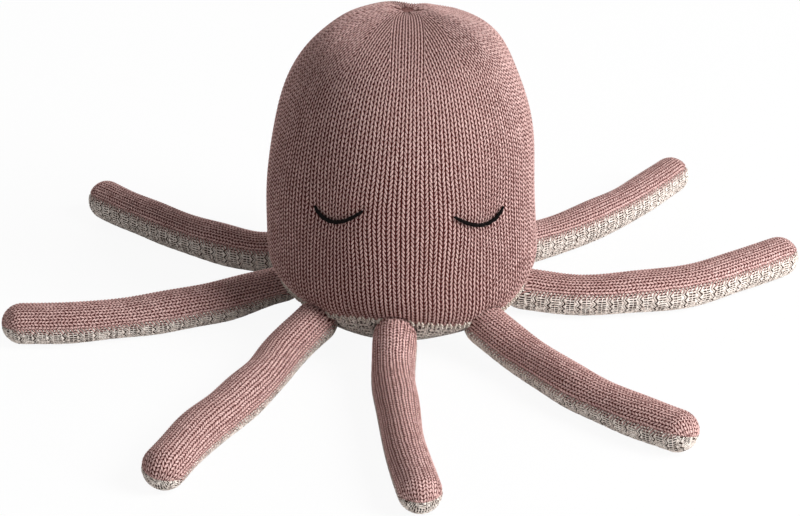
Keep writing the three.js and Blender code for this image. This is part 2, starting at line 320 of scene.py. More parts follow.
# Loops along the rim: leans in shares of their spacing, and heights and thickness from end to middle
LOOPS = 162
LOOP_SIDES = 8
LOOP_STEPS = 9
LOOP_LEAN_SHARES = (-0.35, 0.6)
LOOP_DROP = 3.0
LOOP_HEIGHT = 3.8
LOOP_BULGE = 1.0
LOOP_INSET = 0.8
LOOP_END_RADIUS = 0.25
LOOP_SWELL = 0.45

# Colours, as 0-255 values of a picture
COLOURS = {
    "rose_sheen": (226, 172, 164),
    "rose_dark": (180, 142, 138),
    "rose_light": (216, 181, 176),
    "rose_drift": (184, 147, 141),
    "rose_fibre": (231, 204, 198),
    # Painted shade in the gaps between the stitches of the rose knit, on the head and on the arms
    "head_gap_shade": (62, 22, 20),
    "arm_gap_shade": (76, 36, 33),
    "cream_sheen": (240, 228, 218),
    "cream_dark": (212, 197, 187),
    "cream_light": (243, 232, 223),
    "cream_fibre": (252, 246, 240),
    # Painted shade in the slots and grooves of the cream knit, on the base and under the arms
    "base_gap_shade": (30, 20, 17),
    "under_gap_shade": (54, 38, 32),
    "finger_dark": (176, 134, 129),
    "finger_light": (214, 177, 170),
    # Painted shade round the rose strands at an arm's seam
    "finger_shade": (86, 48, 44),
    # Threads: each colour, then the painted shade between its plies
    "rose_thread": (170, 134, 128),
    "rose_thread_dark": (96, 62, 58),
    "cream_thread": (224, 214, 203),
    "cream_thread_dark": (140, 124, 112),
    "eye_thread": (10, 6, 5),
    "eye_thread_dark": (2, 1, 1),
}

# Surfaces
KNIT_ROUGHNESS = 0.92
THREAD_ROUGHNESS = 0.85
EYE_ROUGHNESS = 0.9
ROSE_SHEEN = 0.35
CREAM_SHEEN = 0.25
THREAD_SHEEN = 0.2
SHEEN_ROUGHNESS = 0.5
SPECULAR_LEVEL = 0.1

# Noise in the materials: its sizes and detail, and how far it moves strands, stitches and ribs
FIBRE_SIZE = 0.6
FIBRE_DETAIL = 3.0
ASIDE_DETAIL = 2.0
THREAD_FIBRE_SIZE = 0.4
STITCH_TONE_SIZE = 1.9
STRAND_TONE_SIZE = 2.2
DRIFT_SIZE = 45.0
ASIDE_SIZE = 6.0
AHEAD_SIZE = 4.0
STRAND_ASIDE_SIZE = 5.0
ASIDE_SHARE = 0.4
STRAND_ASIDE = 0.9
RIB_AHEAD = 0.16

# Ranges of noise or height over which a colour gives way to the next, and the most it takes
TONE_RANGE = (0.35, 0.65)
FIBRE_RANGE = (0.45, 0.75)
FINGER_FIBRE_RANGE = (0.4, 0.7)
ROSE_GAP_SHADE_RANGE = (0.05, 0.7)
CREAM_GAP_SHADE_RANGE = (0.1, 0.75)
PLY_SHADE_RANGE = (0.1, 0.8)
DRIFT_SHARE = 0.35
FIBRE_SHARE = 0.4
THREAD_FIBRE_SHARE = 0.6

# Bump: its depth and strength, and the fibre's share in it
ROSE_BUMP = (0.5, 0.7)
CREAM_BUMP = (0.6, 0.8)
THREAD_BUMP = (0.25, 0.6)
FIBRE_BUMP_SHARE = 0.25
THREAD_FIBRE_BUMP_SHARE = 0.4

# Rose strands that reach over the cream, and the painted shade round them near the seam, in strands from the
# seam and in shares of a course
FINGER_LEAN_SHARE = 0.5
FINGER_TAPER_SHARE = 0.11
FINGER_RANGE = (0.17, 0.25)
FINGER_SHADE_RANGE = (0.04, 0.13)
FINGER_SHADE_STRANDS = (2.8, 1.8)
FINGER_SHADE_SHARE = 0.8


# Numbers that serve both as arrays for the meshes and as wires in a material


class Wire:
    """A value in a node tree that takes part in sums."""

    def __init__(self, tree, socket):
        self.tree = tree
        self.socket = socket

    def apply(self, operation, *others):
        node = self.tree.nodes.new("ShaderNodeMath")
        node.operation = operation
        for place, value in enumerate((self, *others)):
            if isinstance(value, Wire):
                self.tree.links.new(value.socket, node.inputs[place])
            else:
                node.inputs[place].default_value = value
        return Wire(self.tree, node.outputs[0])

    def __add__(self, other):
        return self.apply("ADD", other)

    def __sub__(self, other):
        return self.apply("SUBTRACT", other)

    def __mul__(self, other):
        return self.apply("MULTIPLY", other)

    __rmul__ = __mul__

    def __rsub__(self, other):
        return self.apply("MULTIPLY", -1.0).apply("ADD", other)

    def __abs__(self):
        return self.apply("ABSOLUTE")


def ping_pong(value, scale):
    """Rises from 0 to scale and falls back, over and over."""
    if isinstance(value, Wire):
        return value.apply("PINGPONG", scale)
    return scale - np.abs(np.mod(value, 2 * scale) - scale)


def from_whole(value):
    """How far a value is from the nearest whole number."""
    return ping_pong(value, 0.5)


def fraction(value):
    if isinstance(value, Wire):
        return value.apply("FRACT")
    return value - np.floor(value)


def smooth_between(value, low, high):
    """0 below low, 1 above high, and smooth between; low may be above high."""
    if isinstance(value, Wire):
        node = value.tree.nodes.new("ShaderNodeMapRange")
        node.interpolation_type = "SMOOTHSTEP"
        value.tree.links.new(value.socket, node.inputs["Value"])
        node.inputs["From Min"].default_value = min(low, high)
        node.inputs["From Max"].default_value = max(low, high)
        node.inputs["To Min"].default_value = 0.0 if low < high else 1.0
        node.inputs["To Max"].default_value = 1.0 if low < high else 0.0
        return Wire(value.tree, node.outputs["Result"])
    share = np.clip((value - low) / (high - low), 0, 1)
    return share * share * (3 - 2 * share)


def larger(first, second):
    if isinstance(first, Wire):
        return first.apply("MAXIMUM", second)
    return np.maximum(first, second)


def leg_height(across, along, lean, sharpness):
    """A leg of a stitch, a leaning ellipse; across and along are measured from its middle."""
    aside = (across - along * lean) * sharpness[0]
    ahead = along * sharpness[1]
    return 1 - aside * aside - ahead * ahead


def stockinette_height(wale, course, stitch):
    """Height of plain knit from 0 in the gaps to 1 on the strands: two leaning legs a stitch."""
    lean, width = (smooth_between(course, start, end) * (last - first) + first
                   for first, last, start, end in (stitch["lean"], stitch["across"]))
    sharpness = (width, stitch["along"])
    across = 0.5 - 2 * from_whole(wale)
    along = fraction(course) - 0.5
    beside = larger(leg_height(across, along + 1, lean, sharpness),
                    leg_height(across, along - 1, lean, sharpness))
    return smooth_between(larger(leg_height(across, along, lean, sharpness), beside), 0.0, FULL_STRAND)


def ribbing_height(strand, rib):
    """Height of the cream knit: a ladder of short strands beside a column of chevrons."""
    along = fraction(rib)
    from_ladder = abs(along - LADDER_SHARE)
    in_ladder = smooth_between(from_ladder, *LADDER_EDGE_SHARES)
    in_ladder = in_ladder * smooth_between(from_ladder, *LADDER_CORE_SHARES)
    slots = smooth_between(from_whole(strand), *SLOT_SHARES)
    zigzag = from_whole(strand * CHEVRONS_PER_STRAND) - 0.25
    chevron = along - CHEVRON_SHARE + zigzag * CHEVRON_RISE_SHARE
    near = smooth_between(abs(chevron + GROOVE_SHARE), *NEAR_GROOVE["widths"]) * NEAR_GROOVE["depth"]
    far = smooth_between(abs(chevron - GROOVE_SHARE), *FAR_GROOVE["widths"]) * FAR_GROOVE["depth"]
    return 1 - in_ladder * slots - near - far


# Points and faces


def unit(vector):
    return vector / np.linalg.norm(vector, axis=-1, keepdims=True)


def full_turn(count):
    """Angles at equal steps round a full turn."""
    return np.arange(count) / count * FULL_TURN


def folded(angle):
    """The same angle between minus and plus half a turn."""
    return np.mod(angle + HALF_TURN, FULL_TURN) - HALF_TURN


def level_direction(degrees):
    angle = math.radians(degrees)
    return np.array([math.cos(angle), math.sin(angle), 0.0])


def from_front(angle, radius, height):
    """Points at an angle from the front, a radius and a height."""
    return np.stack(np.broadcast_arrays(radius * np.sin(angle), -radius * np.cos(angle), height), -1)


def circles(centre, radius, across, normal, count):
    """Circles of points round one or more centres, in the plane of two directions."""
    turn = full_turn(count)[:, None]
    return centre + radius * (np.cos(turn) * across + np.sin(turn) * normal)


def path_circles(path, along, outward, size, sides):
    """A circle of points round every point of a path."""
    across = unit(np.cross(along, outward))
    normal = np.cross(across, along)
    return circles(path[:, None], size[..., None], across[:, None], normal[:, None], sides)


def reach_along(points):
    """How far every point of a line lies along it."""
    steps = np.linalg.norm(np.diff(points, axis=0), axis=1)
    return np.concatenate([[0], np.cumsum(steps)])


def between_rows(wanted, places, rows):
    """Rows of numbers at wanted places among the places of the known rows."""
    return np.stack([np.interp(wanted, places, rows[:, k]) for k in range(rows.shape[1])], 1)


def resample(points, shares):
    """Points at shares of the length of a line of points, and that length."""
    reach = reach_along(points)
    return between_rows(reach[-1] * shares, reach, points), reach[-1]


def corner_places(across, along):
    """The places in the knit at the four corners of each quad, from those of all points."""
    places = np.stack(np.broadcast_arrays(across, along), -1)
    return np.stack([places[:-1, :-1], places[:-1, 1:], places[1:, 1:], places[1:, :-1]], 2)


def ring_faces(rows, columns, is_closed):
    """Quads that join rows of rings, and the two ends' closing faces, unless the last row meets the first."""
    row, column = np.mgrid[0:rows - 1 + is_closed, 0:columns]
    beside = (column + 1) % columns
    above = (row + 1) % rows
    corners = [row * columns + column, row * columns + beside,
               above * columns + beside, above * columns + column]
    quads = np.stack(corners, -1).reshape(-1, 4).tolist()
    first = list(range(columns))[::-1]
    last = list(range((rows - 1) * columns, rows * columns))
    return quads if is_closed else quads + [first, last]


def tube(grid, places, end_place=(0.0, 0.0), is_closed=False, is_inside_out=False):
    """Points, faces and every face corner's place in the knit, from rows of rings of points."""
    rows, columns = grid.shape[:2]
    faces = ring_faces(rows, columns, is_closed)
    if is_inside_out:
        faces = [face[::-1] for face in faces]
        places = places[:, :, ::-1]
    end_places = np.tile(end_place, (0 if is_closed else 2 * columns, 1))
    return grid.reshape(-1, 3), faces, np.concatenate([places.reshape(-1, 2), end_places])


def make_object(name, points, faces, uvs=None, smooth=True):
    """A mesh object from millimetre points; uvs holds one (u, v) for each face corner."""
    used = np.unique(np.fromiter((corner for face in faces for corner in face), int))
    place = np.zeros(len(points), int)
    place[used] = np.arange(len(used))
    faces = [[place[corner] for corner in face] for face in faces]
    mesh = bpy.data.meshes.new(name)
    mesh.from_pydata((np.asarray(points)[used] * MM).tolist(), [], faces)
    if uvs is not None:
        layer = mesh.uv_layers.new(name="knit")
        layer.data.foreach_set("uv", np.asarray(uvs, np.float32).ravel())
    mesh.validate()
    mesh.update()
    mesh.polygons.foreach_set("use_smooth", [smooth] * len(mesh.polygons))
    piece = bpy.data.objects.new(name, mesh)
    bpy.context.scene.collection.objects.link(piece)
    return piece


# The head's form


def lean_at(height):
    """How far the head's middle lies to the viewer's right at a height."""
    aside = np.clip((height - RIM_HEIGHT) / (WIDEST_HEIGHT - RIM_HEIGHT), 0, 1)
    share = np.clip((height - WIDEST_HEIGHT) / (HEAD_HEIGHT - WIDEST_HEIGHT), 0, None)
    return HEAD_ASIDE * aside + CROWN_LEAN * share ** 2


def rim_shift(angle):
    """How far the seam under the head hangs below or above its level, by the angle from the front."""
    degrees = np.degrees(folded(angle))
    return np.mean([np.interp(degrees + aside, RIM_ANGLES, RIM_SHIFTS) for aside in RIM_SMOOTHING], 0)


def rim_lid(angle, rings):
    """Rings of points that close the head or the base inside the rim."""
    return [from_front(angle, radius, RIM_HEIGHT + rise + rim_shift(angle)) for radius, rise in rings]


def crown_nearness(radius, height):
    """0 away from the crown and 1 at its middle."""
    return np.clip(1 - (radius / CROWN_BACK_REACH) ** 2, 0, None) * (height > WIDEST_HEIGHT)


def crown_shift(radius, height):
    """How far the gathered crown lies behind the middle of the head."""
    return CROWN_BACK * crown_nearness(radius, height) ** 2


def head_outline():
    """Radius and height of the head from the rim up to the crown."""
    down = np.linspace(1, 0, CHEEK_STEPS, endpoint=False)
    cheek_radius = HEAD_RADIUS - (HEAD_RADIUS - RIM_RADIUS) * down ** CHEEK_POWER
    cheek_height = WIDEST_HEIGHT - (WIDEST_HEIGHT - RIM_HEIGHT) * down
    angle = np.linspace(0, QUARTER_TURN, DOME_STEPS)
    dome_radius = HEAD_RADIUS * np.cos(angle) ** (2 / DOME_ROUNDNESS)
    dome_height = WIDEST_HEIGHT + (HEAD_HEIGHT - WIDEST_HEIGHT) * np.sin(angle) ** (2 / DOME_POWER)
    in_pucker = np.clip(1 - (dome_radius / PUCKER_RADIUS) ** 2, 0, None)
    dome_height -= PUCKER_DEPTH * in_pucker ** 2
    outline = np.stack([np.concatenate([cheek_radius, dome_radius]),
                        np.concatenate([cheek_height, dome_height])], 1)
    return outline[outline[:, 0] >= HEAD_POLE_RADIUS]


def base_outline():
    """Radius and height of the base from the rim down to the middle of its flat."""
    angle = np.linspace(QUARTER_TURN, 0, BASE_STEPS)
    radius = REST_RADIUS + (RIM_RADIUS - REST_RADIUS) * np.sin(angle) ** (2 / BASE_POWER)
    height = RIM_HEIGHT * (1 - np.cos(angle) ** (2 / BASE_POWER))
    return np.concatenate([np.stack([radius, height], 1), [[HEAD_POLE_RADIUS, 0.0]]])


def wale_width(radius):
    """How wide one column of stitches is, at a radius of the head."""
    even = FULL_TURN * radius / HEAD_WALES
    return np.maximum(even, CROWN_WALE_WIDTH * (1 - np.exp(-radius / CROWN_NARROWING_RADIUS)))


def panel_layout(radius):
    """The columns of one side of the head, from the front to the back, at each radius.

    The crown is closed by dropping columns along lines. A line is the far edge of one panel and the
    near edge of the next, and a panel's columns run beside its far edge until its near edge cuts
    them off. Gives each column's angle, the column that stands for it once it is cut off, its wale
    and panel, and the wale at which each panel is cut off.
    """
    half = HEAD_WALES / 2
    wale = np.arange(HEAD_COLUMNS // 2 + 1) / COLUMNS_PER_WALE
    line_wale = np.linspace(FRONT_PANEL_HALF_WALES, half - FRONT_PANEL_HALF_WALES, SIDE_PANELS + 1)
    per_wale = (wale_width(radius) / radius)[:, None]
    first = FRONT_PANEL_HALF_WALES * per_wale
    line = first + (HALF_TURN - 2 * first) * np.arange(SIDE_PANELS + 1) / SIDE_PANELS
    cut_wale = line_wale[1:] - (line[:, 1:] - line[:, :-1]) / per_wale

    panel = np.searchsorted(line_wale + WALE_TOLERANCE, wale)
    far_wale = np.append(line_wale, half)[panel]
    far = np.concatenate([line, np.full((len(radius), 1), HALF_TURN)], 1)[:, panel]
    angle = np.where(panel == 0, wale * per_wale, far - (far_wale - wale) * per_wale)
    stands_for = np.tile(np.arange(len(wale)), (len(radius), 1))
    for k in range(1, SIDE_PANELS + 1):
        is_cut = (panel == k) & (wale < cut_wale[:, k - 1:k] + WALE_TOLERANCE)
        angle = np.where(is_cut, line[:, k - 1:k], angle)
        stands_for = np.where(is_cut, round(line_wale[k - 1] * COLUMNS_PER_WALE), stands_for)
    uncut = np.full((len(radius), 1), -1.0)
    return {"angle": angle, "stands_for": stands_for, "wale": wale, "panel": panel,
            "cut_wale": np.concatenate([uncut, cut_wale, uncut], 1)}


def lumps(points, size, seed):
    """Slow unevenness of stuffing, mostly between -1 and 1."""
    draws = np.random.default_rng(seed)
    total = np.zeros(points.shape[:-1])
    for _ in range(LUMP_WAVES):
        direction = unit(draws.normal(size=3))
        total += np.sin(points @ direction * FULL_TURN / size + draws.uniform(0, FULL_TURN))
    return total / LUMP_WAVES ** 0.5


def swell(angle, radius, height):
    """The uneven swellings of the dome and round its gathered middle."""
    total = np.zeros(angle.shape)
    for place, turn, ring, spread, rise in SWELLINGS:
        away = folded(angle - math.radians(place))
        total += rise * np.exp(-(away / math.radians(turn)) ** 2 - ((radius - ring) / spread) ** 2)
    return total * smooth_between(height, *SWELLING_HEIGHTS)


def gathers(angle, radius):
    """The folds that run into the drawn-up middle of the crown."""
    waves = sum(share * np.cos(count * angle + turn) for count, turn, share in GATHER_WAVES)
    return GATHER_DEPTH * waves * np.exp(-((radius - GATHER_RADIUS) / GATHER_SPREAD) ** 2)


def root_centre(arm):
    return level_direction(arm["root"]) * ROOT_REACH + Z_AXIS * ROOT_HEIGHT


def shoulder_half_height(arm):
    return (arm["top"] - arm["bottom"]) / 2


def shoulder_centre(arm):
    middle = (arm["top"] + arm["bottom"]) / 2
    return level_direction(arm["shoulder"]) * SHOULDER_REACH + Z_AXIS * middle


def press_in_shoulders(points):
    """Pushes points out of the space that the arms' shoulders take."""
    power = 2 / SHOULDER_SQUARENESS
    for arm in ARMS.values():
        centre = shoulder_centre(arm)
        inward = -level_direction(arm["shoulder"])
        away = points - centre
        ahead = away @ inward
        across = away - ahead[..., None] * inward
        rise = across[..., 2] / (shoulder_half_height(arm) + DENT_GAP)
        aside = np.linalg.norm(across[..., :2], axis=-1) / (SHOULDER_RADIUS + DENT_GAP)
        deep = np.maximum(np.abs(ahead) / (SHOULDER_RADIUS + DENT_DEPTH_GAP), LEAST_DEPTH)
        distance = (np.hypot(rise, aside) ** power + deep ** power) ** (1 / power)
        points = np.where(distance[..., None] < 1, centre + away / distance[..., None], points)
    return points


# Where the eyes are, and what their threads do to the knit


def head_surface(angle, height):
    """A point on the smooth head at an angle from the front and a height, and its outward direction."""
    face_radius, face_height = head_outline()[:FACE_STEPS].T
    radius = np.interp(height, face_height, face_radius)
    rise = -np.interp(height, face_height, np.gradient(face_radius, face_height))
    point = from_front(angle, radius, height) + X_AXIS * lean_at(height)[..., None]
    return point, unit(from_front(angle, 1.0, rise))


def eye_line(eye, count):
    """Points along an eye, and their outward directions."""
    share = np.linspace(0, 1, count)
    angle = np.radians(eye["start"] + (eye["end"] - eye["start"]) * share)
    dip = eye["dip_share"] * 4 * share * (1 - share) * (1 + eye["skew"] * (2 * share - 1))
    height = HEAD_HEIGHT * (eye["start_share"] + (eye["end_share"] - eye["start_share"]) * share - dip)
    return head_surface(angle, height)


def eye_pinch(points):
    """How far the knit is drawn in under the eye threads."""
    depth = np.zeros(points.shape[:-1])
    for eye in EYES.values():
        line = eye_line(eye, EYE_PINCH_STEPS)[0]
        near = np.min(np.linalg.norm(points[..., None, :] - line, axis=-1), -1)
        depth = np.maximum(depth, EYE_PINCH_DEPTH * np.exp(-(near / EYE_PINCH_WIDTH) ** 2))
    return depth


def eye_draw(angle, height):
    """How far the columns of stitches turn towards the middle of an eye, drawn by its thread."""
    total = np.zeros(angle.shape)
    for eye in EYES.values():
        middle = math.radians(eye["start"] + eye["end"]) / 2
        level = HEAD_HEIGHT * (eye["start_share"] + eye["end_share"] - eye["dip_share"]) / 2
        near = np.exp(-((angle - middle) / EYE_DRAW_ANGLE) ** 2 - ((height - level) / EYE_DRAW_HEIGHT) ** 2)
        total += (middle - angle) * near * EYE_DRAW_SHARE
    return total


# The head's and the base's knit


def head_points(outline, angle, relief):
    """The head's points: its smooth form with the relief, the swellings, the folds and the dents."""
    radius, height = (np.repeat(outline[:, k:k + 1], HEAD_COLUMNS, 1) for k in (0, 1))
    points = from_front(angle, radius, height)
    points[..., 0] += lean_at(height)
    points[..., 1] += crown_shift(radius, height)
    low, high = EYE_PINCH_HEIGHTS
    near_eyes = (height > low) & (height < high) & (np.abs(angle) < EYE_PINCH_ANGLE)
    pinch = np.zeros(height.shape)
    pinch[near_eyes] = eye_pinch(points[near_eyes])
    above_rim = smooth_between(height, RIM_HEIGHT, RIM_HEIGHT + HEAD_LUMP_FADE)
    puff = lumps(points, HEAD_LUMP_SIZE, HEAD_LUMP_SEED) * HEAD_LUMP_HEIGHT * above_rim - pinch
    puff = puff + swell(angle, radius, height) + gathers(angle, radius) * (height > WIDEST_HEIGHT)
    relief = relief * smooth_between(radius, HEAD_POLE_RADIUS, POLE_FADE_RADIUS)
    slope = unit(np.gradient(outline, axis=0))
    out = from_front(angle, slope[:, 1:], -slope[:, :1])
    points = points + out * (relief + puff)[..., None]
    points[..., 2] += rim_shift(angle) * smooth_between(height, RIM_HEIGHT + RIM_FADE_HEIGHT, RIM_HEIGHT)
    points[..., 2] -= CROWN_SINK * crown_nearness(radius, height)
    return press_in_shoulders(points)


def without_repeats(corners):
    return [k for k in range(len(corners)) if corners[k] != corners[k - 1]]


def knit_faces(corners, places):
    """Faces without the corners that fell together, and one place in the knit for each corner."""
    faces, kept_places = [], []
    for face, face_places in zip(corners, places):
        kept = without_repeats(face)
        if len(kept) > 2:
            faces.append([face[k] for k in kept])
            kept_places += [face_places[k] for k in kept]
    return faces, kept_places


def head_faces(panels, side, stands_for, ahead):
    """The head's faces, without the dropped columns, and every corner's place in the knit."""
    rows, columns = stands_for.shape
    knit_rows = np.maximum(np.arange(rows) - (rows - HEAD_ROWS), 0)
    row, near = np.mgrid[0:rows - 1, 0:columns]
    beside = (near + 1) % columns
    panel = panels["panel"][np.maximum(side[near], side[beside])]
    corners, places = [], []
    for corner_row, column in ((row, near), (row, beside), (row + 1, beside), (row + 1, near)):
        knit_row = knit_rows[corner_row]
        corners.append(corner_row * columns + stands_for[corner_row, column])
        wale = np.maximum(panels["wale"][side[column]], panels["cut_wale"][knit_row, panel])
        places.append(np.stack([wale, knit_row / ROWS_PER_COURSE + ahead[near]], -1))
    faces, uvs = knit_faces(np.stack(corners, -1).reshape(-1, 4).tolist(),
                            np.stack(places, 2).reshape(-1, 4, 2).tolist())
    top = ((rows - 1) * columns + stands_for[-1]).tolist()
    ends = [list(range(columns))[::-1], [top[k] for k in without_repeats(top)]]
    return faces + ends, uvs + [(0.0, 0.0)] * (len(ends[0]) + len(ends[1]))


def head_skin():
    """The rose knit of the head, with every stitch, and a lid that closes it inside the rim."""
    share = np.linspace(0, 1, HEAD_ROWS)
    outline = resample(head_outline(), share + LOW_COURSES_SHARE * share * (share - 1))[0]
    panels = panel_layout(outline[:, 0])
    column = np.arange(HEAD_COLUMNS)
    half = HEAD_COLUMNS // 2
    side = np.abs(column - half)
    hand = np.where(column < half, -1, 1)
    angle = hand * panels["angle"][:, side]
    angle = angle + eye_draw(angle, outline[:, 1:])
    uneven = np.random.default_rng(COURSE_SEED).uniform(-1, 1, HEAD_WALES) * COURSE_UNEVENNESS
    ahead = uneven[column // COLUMNS_PER_WALE]
    course = np.arange(HEAD_ROWS)[:, None] / ROWS_PER_COURSE
    height = stockinette_height(panels["wale"][side], course + ahead, HEAD_STITCH)
    points = head_points(outline, angle, (height - HEAD_STITCH["level"]) * HEAD_STITCH["relief"])
    lid = rim_lid(angle[0], HEAD_LID)
    stands_for = (half + hand * panels["stands_for"][:, side]) % HEAD_COLUMNS
    stands_for = np.concatenate([np.tile(column, (len(lid), 1)), stands_for])
    faces, uvs = head_faces(panels, side, stands_for, ahead)
    return make_object("head_knit", np.concatenate([lid, points]).reshape(-1, 3), faces, uvs)


def base_skin():
    """The cream ribbed knit of the base, and a lid that closes it inside the rim."""
    outline, length = resample(base_outline(), np.linspace(0, 1, BASE_ROWS))
    angle = full_turn(BASE_COLUMNS) + QUARTER_TURN
    strand = np.linspace(0, length / BASE_STRAND_WIDTH, BASE_ROWS)[:, None]
    rib = np.arange(BASE_COLUMNS + 1) / BASE_COLUMNS * BASE_RIBS
    slope = unit(np.gradient(outline, axis=0))
    relief = (ribbing_height(strand, rib[:-1]) - BASE_LEVEL) * UNDER_RELIEF
    relief = relief * smooth_between(outline[:, 1:], *BASE_RELIEF_HEIGHTS)
    radius = outline[:, :1] - relief * slope[:, 1:]
    height = np.maximum(outline[:, 1:] + relief * slope[:, :1], 0.0)
    height = height + rim_shift(angle) * smooth_between(height, BASE_SHIFT_HEIGHT, RIM_HEIGHT)
    points = press_in_shoulders(from_front(angle, radius, height))
    points[..., 2] = np.maximum(points[..., 2], 0.0)
    lid = rim_lid(angle, BASE_LID)
    grid = np.concatenate([lid, points])
    strand_at = (np.arange(len(grid)) - len(lid)) / (BASE_ROWS - 1) * length / BASE_STRAND_WIDTH
    places = corner_places(strand_at[:, None], rib)
    return make_object("base_knit", *tube(grid, places, is_inside_out=True))


# Arms


def arm_radius(share):
    to_middle = ROOT_RADIUS + (ARM_MIDDLE_RADIUS - ROOT_RADIUS) * share * 2
    to_tip = ARM_MIDDLE_RADIUS + (ARM_TIP_RADIUS - ARM_MIDDLE_RADIUS) * (share * 2 - 1)
    return np.where(share < 0.5, to_middle, to_tip)


def arm_route(arm):
    """Points along the middle of an arm, close together, from its root to the centre of its tip."""
    knots = [root_centre(arm)]
    count = len(arm["turns"])
    for k, turn in enumerate(arm["turns"]):
        end = knots[-1] + level_direction(arm["root"] + turn) * arm["length"] / count
        end[2] = arm_radius(np.array((k + 1) / count)) + ARM_FLOOR_GAP
        knots.append(end)
    padded = [2 * knots[0] - knots[1], *knots, 2 * knots[-1] - knots[-2]]
    share = np.linspace(0, 1, KNOT_STEPS)[:, None]
    eased = share ** 2 * (3 - 2 * share)
    spans = []
    for before, start, end, after in zip(padded, padded[1:], padded[2:], padded[3:]):
        leave, arrive = (end - before) / 2, (after - start) / 2
        bend = (leave * (1 - share) - arrive * share) * share * (1 - share)
        spans.append(start * (1 - eased) + end * eased + bend)
    return resample(np.concatenate(spans), np.linspace(0, 1, ROUTE_STEPS))[0]


def arm_rows(arm):
    """For every row of stitches: its centre and directions, half width and height, cap and roll."""
    ends = np.cumsum([0.0, SHOULDER_RADIUS * QUARTER_TURN, arm["length"], ARM_TIP_RADIUS * QUARTER_TURN])
    ribs = round(ends[-1] / RIB_LENGTH)
    reach = np.linspace(END_HOLE, ends[-1] - END_HOLE, ribs * COURSES_PER_RIB * ROWS_PER_COURSE + 1)
    share = np.interp(reach, ends, (0.0, 0.0, 1.0, 1.0))
    cap = np.interp(reach, ends, (HALF_TURN, QUARTER_TURN, QUARTER_TURN, 0.0))
    route = arm_route(arm)
    step = np.arange(ROUTE_STEPS)
    place = share * (ROUTE_STEPS - 1)
    centre = between_rows(place, step, route)
    along = unit(between_rows(place, step, unit(np.gradient(route, axis=0))))
    level = unit(np.cross(Z_AXIS, along))

    slimming = ARM_SLIMNESS + arm["waist"] * np.exp(-((share - WAIST_SHARE) / WAIST_SPREAD_SHARE) ** 2)
    radius = arm_radius(share) - slimming
    near_root = 1 - smooth_between(share * arm["length"], 0.0, SHOULDER_FADE)
    centre += (shoulder_centre(arm) - root_centre(arm)) * near_root[:, None]
    centre[:, 2] -= slimming * (1 - near_root)
    squareness = np.where(cap > QUARTER_TURN, SHOULDER_SQUARENESS, 1.0)
    return {"centre": centre, "along": along, "level": level, "upward": np.cross(along, level),
            "half_width": radius + (SHOULDER_RADIUS - ROOT_RADIUS) * near_root,
            "half_height": radius + (shoulder_half_height(arm) - ROOT_RADIUS) * near_root,
            "around": np.sin(cap) ** squareness,
            "ahead": np.sign(np.cos(cap)) * np.abs(np.cos(cap)) ** squareness,
            "roll": np.radians(arm["roll"][0] + (arm["roll"][1] - arm["roll"][0]) * share)}


def arm_points(rows, angle, out):
    """Points round an arm at section angles from its left seam, raised by out."""
    turned = angle + rows["roll"][:, None]
    around = rows["around"][:, None, None]
    across = (rows["half_width"][:, None] * np.cos(turned))[..., None] * rows["level"][:, None, :]
    rise = (rows["half_height"][:, None] * np.sin(turned))[..., None] * rows["upward"][:, None, :]
    ahead = (rows["half_width"] * rows["ahead"])[:, None] * rows["along"]
    offset = (across + rise) * around + ahead[:, None, :]
    points = rows["centre"][:, None, :] + offset
    return points + unit(offset) * out[..., None]


def inner_wall(rows, outer, side):
    """Points from seam to seam through the inside of an arm."""
    share = np.arange(1, INNER_STEPS)[None, :, None] / INNER_STEPS
    chord = outer[:, -1:, :] * (1 - share) + outer[:, :1, :] * share
    roll = rows["roll"][:, None]
    middle = np.cos(roll) * rows["upward"] - np.sin(roll) * rows["level"]
    return chord + side * (INNER_DEPTH * rows["around"][:, None] * middle)[:, None, :]


def arm_half(name, rows, seed, is_upper):
    """One knitted half of an arm, closed inside along the seam."""
    side = 1 if is_upper else -1
    wales, columns = (ARM_WALES, ARM_COLUMNS) if is_upper else (UNDER_STRANDS, UNDER_COLUMNS)
    around = rows["around"][:, None]
    course = np.arange(len(around))[:, None] / ROWS_PER_COURSE
    across = np.linspace(0, 1, columns + 1)
    stitch = (0.5 + (across - 0.5) * around) * wales
    if is_upper:
        along = course
        height = (stockinette_height(stitch, along, ARM_STITCH) - ARM_STITCH["level"]) * ARM_STITCH["relief"]
    else:
        along = course / COURSES_PER_RIB
        height = (ribbing_height(stitch, along) - UNDER_LEVEL) * UNDER_RELIEF

    from_start, from_end = across * columns, (1 - across) * columns
    teeth = (2 * fraction(course) - 1) * SEAM_TEETH / ARM_MIDDLE_RADIUS
    at_start, at_end = (smooth_between(away, SEAM_TEETH_COLUMNS, 0.0) for away in (from_start, from_end))
    angle = side * HALF_TURN * across + teeth * (at_start - at_end)
    inside = smooth_between(np.minimum(from_start, from_end), 0.0, SEAM_EDGE_COLUMNS)
    height = height * inside * smooth_between(around, *END_FADE_SHARES) - (1 - inside) * SEAM_DEPTH
    smooth_points = arm_points(rows, angle, np.zeros(angle.shape))
    outer = arm_points(rows, angle, height + lumps(smooth_points, ARM_LUMP_SIZE, seed) * ARM_LUMP_HEIGHT)
    outer[..., 2] = np.maximum(outer[..., 2], ARM_FLOOR_GAP)

    grid = np.concatenate([outer, inner_wall(rows, outer, side)], 1)
    places = corner_places(np.pad(stitch, ((0, 0), (0, INNER_STEPS)), mode="edge"), along)
    places[:, columns:, :, 0] = INNER_WALE
    end_place = (wales / 2 + END_WALE_SHIFT, END_COURSE)
    return make_object(name, *tube(grid, places, end_place, is_inside_out=is_upper))


# Yarn and thread


